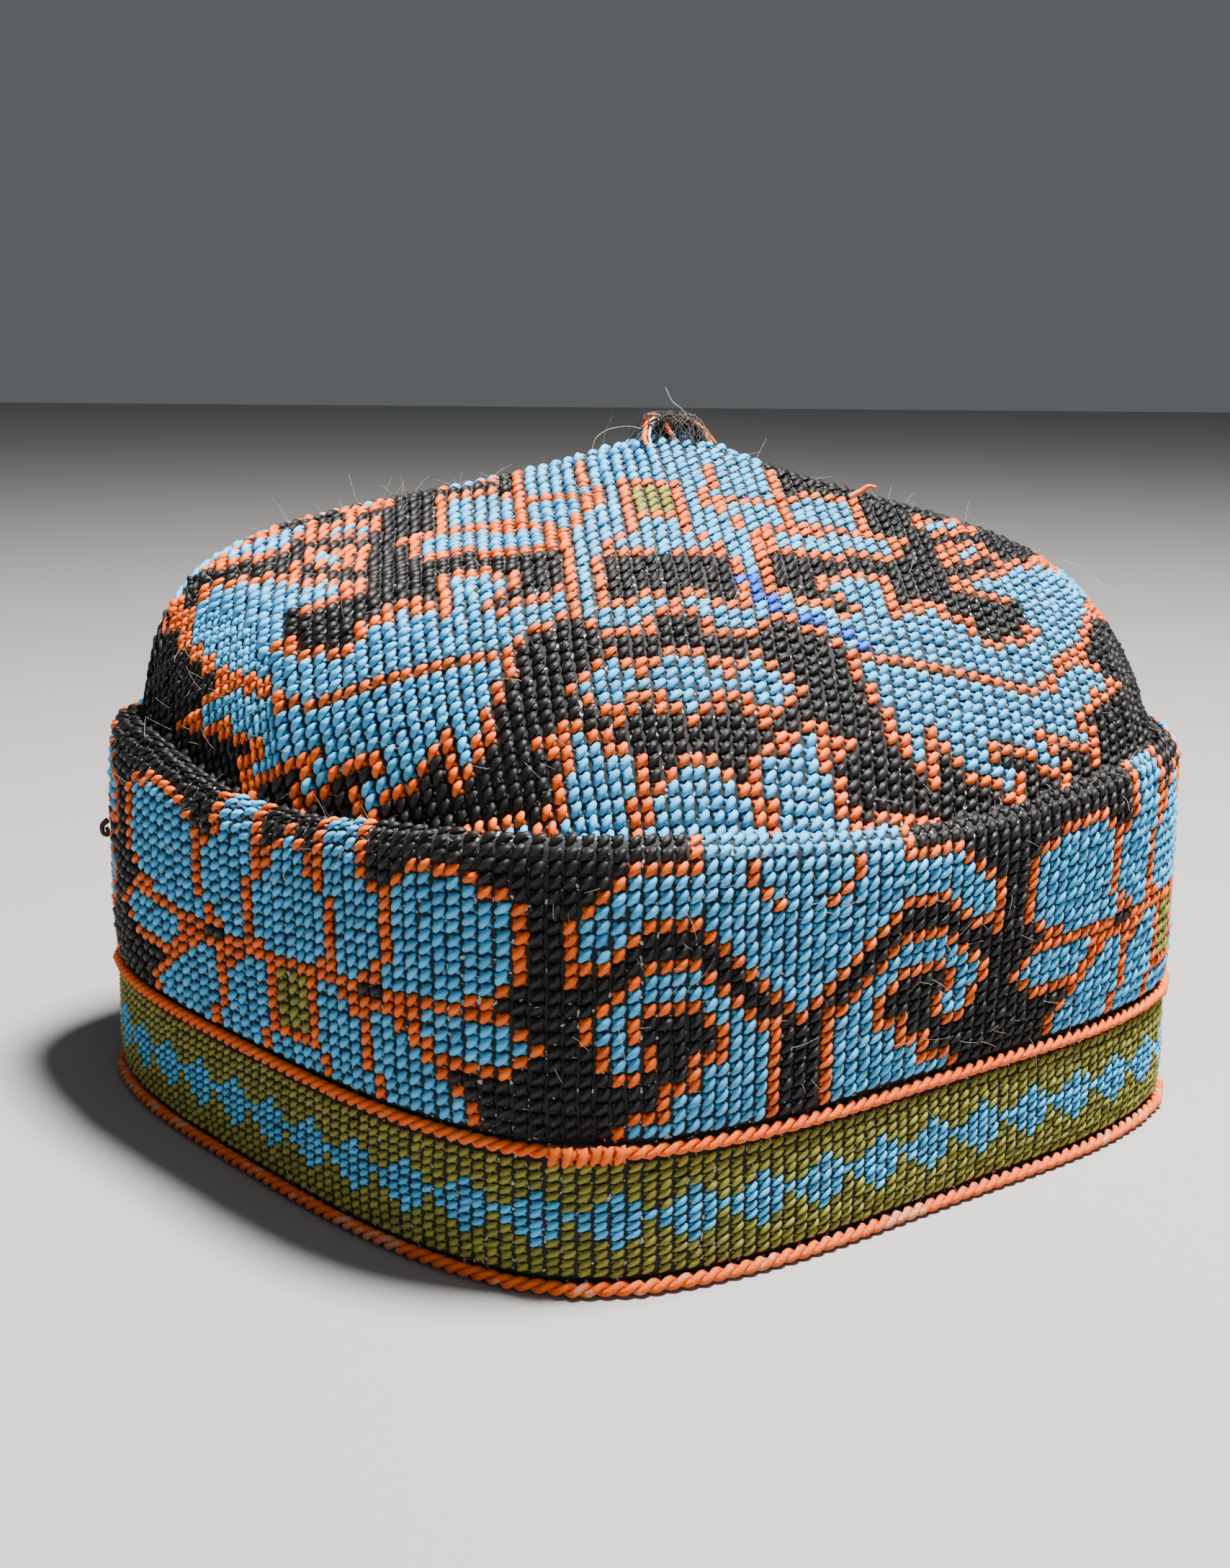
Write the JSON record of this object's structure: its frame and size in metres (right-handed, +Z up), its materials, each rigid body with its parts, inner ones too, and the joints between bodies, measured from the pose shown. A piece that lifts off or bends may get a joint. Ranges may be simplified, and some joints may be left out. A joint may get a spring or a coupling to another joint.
{
  "type": "tubeteika skullcap",
  "caption": "Soft square skullcap with a peaked crown, an upright wall and a corded base band, all covered in cross-stitch embroidery, open below for the head.",
  "frame": {"origin": "middle of the lowest face of the cap, where it stands on a surface", "axes": "+Z up through the peak, -Y towards the front corner, +X towards the right corner"},
  "size_m": [0.1998, 0.1999, 0.1257],
  "materials": {
    "embroidered_cloth": "silk-floss cross stitch in sky blue, orange and black on cotton canvas",
    "band_cloth": "cross stitch in olive with a sky blue diamond chain",
    "cord": "twisted orange silk cord",
    "thread_ends": "frayed ends of black, orange and pale floss"
  },
  "bodies": {
    "root": {"crown": "embroidered_cloth", "side_wall": "embroidered_cloth", "band": "band_cloth", "band_cord": "cord", "hem_cord": "cord", "peak_tuft": "thread_ends"}
  },
  "joints": []
}
